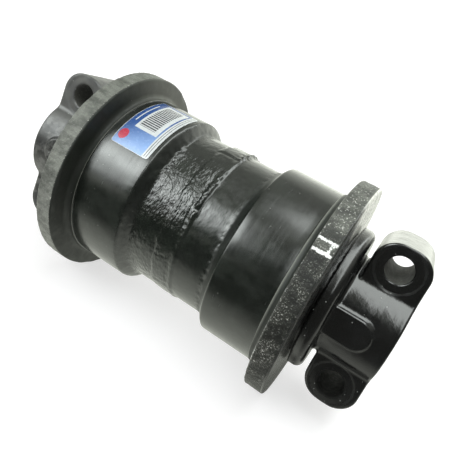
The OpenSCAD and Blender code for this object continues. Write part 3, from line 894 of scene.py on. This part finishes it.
def label():
    """A thin film on the left tread: a blue print with a plain bar pattern, all inside a white border."""
    arc = math.radians(52)
    start = math.radians(33)
    radius = TREAD_R + 0.05
    length = arc * radius
    width = LABEL_HIGH[0] - LABEL_LOW[0]
    thickness = 0.25
    corner = 2.5
    cell = 0.5
    across = np.arange(0, width + cell / 2, cell)
    along = np.arange(0, length + cell / 2, cell) * length / (round(length / cell) * cell)
    end_gap = np.minimum(along, length - along)
    rounding = corner - np.sqrt(np.maximum(corner**2 - (corner - end_gap) ** 2, 0))
    inset = np.where(end_gap < corner, rounding, 0)
    u, v = np.meshgrid(across, along, indexing="ij")
    squeezed = inset[None, :] + u * (width - 2 * inset[None, :]) / width
    layers = []
    for lift in (thickness, 0.0):
        angle = start + v / radius
        r = radius + lift
        layer = np.stack([LABEL_LOW[0] + squeezed, -r * np.cos(angle), r * np.sin(angle)], axis=-1)
        layers.append(layer.reshape(-1, 3))
    n, m = len(across), len(along)
    i, j = (a.ravel() for a in np.meshgrid(np.arange(n - 1), np.arange(m - 1), indexing="ij"))
    top = np.stack([i * m + j, (i + 1) * m + j, (i + 1) * m + j + 1, i * m + j + 1], axis=1)
    bottom = top[:, ::-1] + n * m
    rim_path = [k * m for k in range(n)] + [(n - 1) * m + k for k in range(1, m)]
    rim_path += [k * m + m - 1 for k in range(n - 2, -1, -1)] + [k for k in range(m - 2, 0, -1)]
    rim = [(a, a + n * m, b + n * m, b) for a, b in zip(rim_path, rim_path[1:] + rim_path[:1])]
    faces = np.concatenate([top, bottom, np.array(rim)])
    cu, cv = (i + 0.5) * cell, (j + 0.5) * length / (m - 1)
    WHITE, BLUE, INK, RED = range(4)
    ink = np.full(len(top), BLUE)

    def paint(u0, u1, v0, v1, colour, where=True):
        ink[(cu > u0) & (cu < u1) & (cv > v0) & (cv < v1) & where] = colour

    panel = (8.0, 29.5, 21.0, 66.5)
    paint(31.0, width, 0, length, WHITE)
    for line_u in (32.5, 34.5):
        paint(line_u, line_u + 0.5, 1.5, length - 1.5, INK)
    paint(*panel, WHITE)
    bar_pitch, bar_width = 2.5, 1.5
    bars = (cv - panel[2]) % bar_pitch < bar_width
    paint(panel[0] + 2.0, panel[1] - 4.0, panel[2] + 3.5, panel[3] - 2.5, INK, bars)
    paint(3.5, 4.5, 27.0, 58.0, WHITE)
    paint(1.5, 9.5, 5.0, 15.5, RED, ((cu - 5.5) / 4.0) ** 2 + ((cv - 10.25) / 5.2) ** 2 < 1.0)
    border = 0.6
    outside = (cu < border) | (cu > width - border) | (cv < border) | (cv > length - border)
    ink[outside] = WHITE
    # The underside and the edges get the dark ink. On the edges this is painted shade: a dark line along the
    # film's edge.
    ink_and_edge_shade = np.concatenate([ink, np.full(len(faces) - len(top), INK)])
    made = make_object(
        "label_film",
        np.concatenate(layers),
        faces,
        [
            film("label_white", (0.66, 0.68, 0.70)),
            film("label_blue", (0.29, 0.45, 0.80), tint=(0.004, 0.058, 0.25)),
            film("label_ink", (0.05, 0.05, 0.06)),
            film("label_red", (0.50, 0.03, 0.07)),
        ],
        ink_and_edge_shade,
    )
    fade = smooth_step(0.1, 0.75, (v / length + 0.35 * (1 - u / width)).ravel())
    add_attribute(made, "print_fade", np.tile(fade, 2))
    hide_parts("label")
    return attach(made, "roller")


# ---- the pieces that keep their CAD meshes ----

def finish_cad_nodes():
    steel = machined_steel("ground_shaft", (0.58, 0.585, 0.59))
    bronze = machined_steel("bushing_bronze", (0.62, 0.42, 0.19))
    iron = machined_steel("seal_iron", (0.34, 0.34, 0.345), roughness=(0.12, 0.3))
    pin = machined_steel("pin_steel", (0.45, 0.45, 0.46), axis=1)
    zinc = machined_steel("plug_zinc", (0.55, 0.54, 0.50))
    copper = machined_steel("washer_copper", (0.72, 0.33, 0.2))
    rubber = seal_rubber()
    finishes = {"shaft": steel, "oil_plug": zinc, "oil_plug_washer": copper}
    for end in ("left", "right"):
        finishes[end + "_bushing"] = bronze
        finishes[end + "_lock_pin"] = pin
        finishes[end + "_shaft_o_ring"] = rubber
        for role in ("turning", "fixed"):
            finishes[f"{end}_{role}_seal_ring"] = iron
            finishes[f"{end}_{role}_seal_rubber"] = rubber
    for node, finish in finishes.items():
        slots = frame["nodes"][node].data.materials
        if len(slots) == 0:
            slots.append(finish)
        for k in range(len(slots)):
            slots[k] = finish


# ---- stage, light and camera ----

def floor_white():
    """Matt white that glows a little, so that the floor comes out nearly as bright as the backdrop."""
    s = Surface("floor_white", Roughness=0.9, Emission_Color=(1, 1, 1, 1), Emission_Strength=FLOOR_GLOW)
    colour = (0.50, 0.48, 0.50)
    patches = s.remap(s.noise(400.0, 2.0), 0.3, 0.7, 0, 1)
    s.put("Base Color", s.blend(patches, tuple(0.985 * c for c in colour), colour))
    return s.material


def floor():
    reach = 8.0 / MM
    corners = [(x * reach, y * reach, FLOOR_Z) for x, y in ((-1, -1), (1, -1), (1, 1), (-1, 1))]
    make_object("floor", corners, [(0, 1, 2, 3)], [floor_white()], smooth=False)


def reflection_card():
    """What the paint mirrors of the floor: bright close to the roller, dark in front of it and at its right.

    Only reflections see it. Its places are in metres, and level is how strongly each point of it glows.
    """
    x = [[-8.0, -4.0, -2.0, -1.4, -1.0, -0.7, -0.5], np.arange(-0.3, 0.31, 0.02), [0.5, 1.0, 8.0]]
    y = [[-8.0, -2.4, -1.2, -0.6, -0.4, -0.3], np.arange(-0.24, 0.11, 0.01), [0.2, 0.5, 1.0, 8.0]]
    gx, gy = np.meshgrid(np.concatenate(x), np.concatenate(y), indexing="ij")
    # Painted shadow: the mirrored floor is darkened at the front right, where the roller shades it, and
    # nearly black under the right collar's disc.
    front_right = smooth_step(0.10, 0.15, gx) * (1 - smooth_step(-0.01, 0.05, gy))
    under_disc = smooth_step(0.095, 0.115, gx) * (1 - smooth_step(0.125, 0.15, gx))
    under_disc = under_disc * smooth_step(-0.06, -0.03, gy) * (1 - smooth_step(0.08, 0.2, gy))
    near = smooth_step(-0.165 + 0.06 * front_right, -0.065 + 0.03 * front_right, gy)
    near = near * (1 - 0.5 * front_right) * (1 - 0.94 * under_disc)
    far_left = smooth_step(0.3, 1.0, -gx)
    level = 0.08 + 0.82 * near + 0.7 * far_left * (1 - near) + 0.25 * smooth_step(0.15, 0.6, gy)
    points = np.stack([gx, gy, np.full(gx.shape, FLOOR_Z * MM + 0.001)], axis=-1).reshape(-1, 3) / MM
    rows, columns = gx.shape
    i, j = (a.ravel() for a in np.meshgrid(np.arange(rows - 1), np.arange(columns - 1), indexing="ij"))
    corner = i * columns + j
    faces = np.stack([corner, corner + columns, corner + columns + 1, corner + 1], axis=1)
    s = Surface("floor_mirrored", Base_Color=(0, 0, 0, 1), Roughness=1.0, Specular_IOR_Level=0.0)
    s.bsdf.inputs["Emission Color"].default_value = (*MIRRORED_FLOOR_COLOUR, 1)
    s.put("Emission Strength", s.attribute("level"))
    made = make_object("reflection_card", points, faces, [s.material], smooth=False)
    add_attribute(made, "level", level.ravel())
    for ray in ("camera", "diffuse", "shadow", "transmission", "volume_scatter"):
        setattr(made, "visible_" + ray, False)


class Sky(NodeBuilder):
    """The light all round as a function of direction."""

    def __init__(self, world):
        self.nodes, self.links = world.node_tree.nodes, world.node_tree.links
        self.nodes.clear()
        split = self.nodes.new("ShaderNodeSeparateXYZ")
        self.links.new(self.nodes.new("ShaderNodeTexCoord").outputs["Generated"], split.inputs[0])
        self.x, self.y, self.z = split.outputs

    def patch(self, radiance, starts, stops):
        """A light that is on above each start and below each stop, each a value and its (place, fade)."""
        total = radiance
        for edges, below, above in ((starts, 0.0, 1.0), (stops, 1.0, 0.0)):
            for value, (place, fade) in edges:
                share = self.remap(value, place - fade / 2, place + fade / 2, below, above)
                total = self.math("MULTIPLY", share, total)
        return total

    def background(self, strength, colour):
        node = self.nodes.new("ShaderNodeBackground")
        node.inputs["Color"].default_value = (*colour, 1)
        if isinstance(strength, float):
            node.inputs["Strength"].default_value = strength
        else:
            self.links.new(strength, node.inputs["Strength"])
        return node.outputs[0]

    def join(self, kind, first, second):
        node = self.nodes.new(kind)
        sockets = [socket for socket in node.inputs if socket.type == "SHADER"]
        self.links.new(first, sockets[0])
        self.links.new(second, sockets[1])
        return node


def world():
    """White for the camera. As light, it has a window at the left, a softbox overhead and a dim room."""
    made = bpy.data.worlds.new("studio")
    bpy.context.scene.world = made
    made.use_nodes = True
    sky = Sky(made)
    turn = sky.math("ARCTAN2", sky.math("MULTIPLY", sky.x, -1.0), sky.math("MULTIPLY", sky.y, -1.0))
    turn = sky.math("MULTIPLY", turn, math.degrees(1))
    height = sky.math("MULTIPLY", sky.math("ARCSINE", sky.z), math.degrees(1))
    leaning_turn = sky.math("SUBTRACT", turn, sky.math("MULTIPLY", height, WINDOW_LEAN))
    leaning_height = sky.math("ADD", height, sky.math("MULTIPLY", turn, WINDOW_SLOPE))
    window = sky.patch(
        WINDOW_RADIANCE,
        [(leaning_turn, WINDOW_RIGHT), (leaning_height, WINDOW_LOW)],
        [(turn, WINDOW_LEFT), (height, WINDOW_HIGH)],
    )
    core = sky.patch(
        CORE_RADIANCE,
        [(turn, (CORE_TURN[0], CORE_TURN[2])), (height, (CORE_HEIGHT[0], CORE_HEIGHT[2]))],
        [(turn, (CORE_TURN[1], CORE_TURN[2])), (height, (CORE_HEIGHT[1], CORE_HEIGHT[2]))],
    )
    front_y = sky.math("ADD", sky.y, sky.math("MULTIPLY", sky.x, BOX_FRONT_SKEW))
    back_y = sky.math("ADD", sky.y, sky.math("MULTIPLY", sky.x, BOX_BACK_SKEW))
    above = sky.patch(
        BOX_RADIANCE,
        [(sky.x, BOX_LEFT), (front_y, BOX_FRONT), (sky.z, BOX_LOW)],
        [(sky.x, BOX_RIGHT), (back_y, BOX_BACK)],
    )
    room = sky.math("MULTIPLY", sky.remap(height, *ROOM_RISE), ROOM_OVERHEAD)
    back = sky.math("MULTIPLY", sky.remap(sky.y, *ROOM_BACK_RISE), ROOM_BACK)
    horizon = sky.math("MULTIPLY", sky.remap(sky.y, *ROOM_HORIZON_RISE), ROOM_HORIZON)
    room = sky.math("MAXIMUM", sky.math("MAXIMUM", room, sky.math("ADD", back, horizon)), ROOM_FRONT)
    lamps = sky.background(sky.math("ADD", sky.math("ADD", window, core), above), LAMP_COLOUR)
    lit = sky.join("ShaderNodeAddShader", lamps, sky.background(room, ROOM_COLOUR))
    backdrop = sky.background(BACKDROP_RADIANCE, (1.0, 1.0, 1.0))
    choose = sky.join("ShaderNodeMixShader", lit.outputs[0], backdrop)
    sky.links.new(sky.nodes.new("ShaderNodeLightPath").outputs["Is Camera Ray"], choose.inputs[0])
    output = sky.nodes.new("ShaderNodeOutputWorld")
    sky.links.new(choose.outputs[0], output.inputs["Surface"])


def camera():
    data = bpy.data.cameras.new("camera")
    data.sensor_width = CAMERA_SENSOR
    data.lens = CAMERA_LENS
    data.clip_start = 0.01
    made = bpy.data.objects.new("camera", data)
    bpy.context.scene.collection.objects.link(made)
    right, up = Vector(CAMERA_RIGHT), Vector(CAMERA_UP)
    turned = Matrix((right, up, right.cross(up))).transposed().to_4x4()
    turned.translation = CAMERA_PLACE
    made.matrix_world = turned
    bpy.context.scene.camera = made


camera()
world()
floor()
reflection_card()
shell()
casting = collar_mesh()
collar("right_casting", 1, casting, 0.0, 51)
# The left collar's paint is lightened by 0.8: painted light, for the brighter light on that end.
collar("left_casting", -1, casting, 0.8, 61)
label()
finish_cad_nodes()

bpy.context.scene.view_settings.view_transform = "Standard"
bpy.context.scene.view_settings.look = "None"
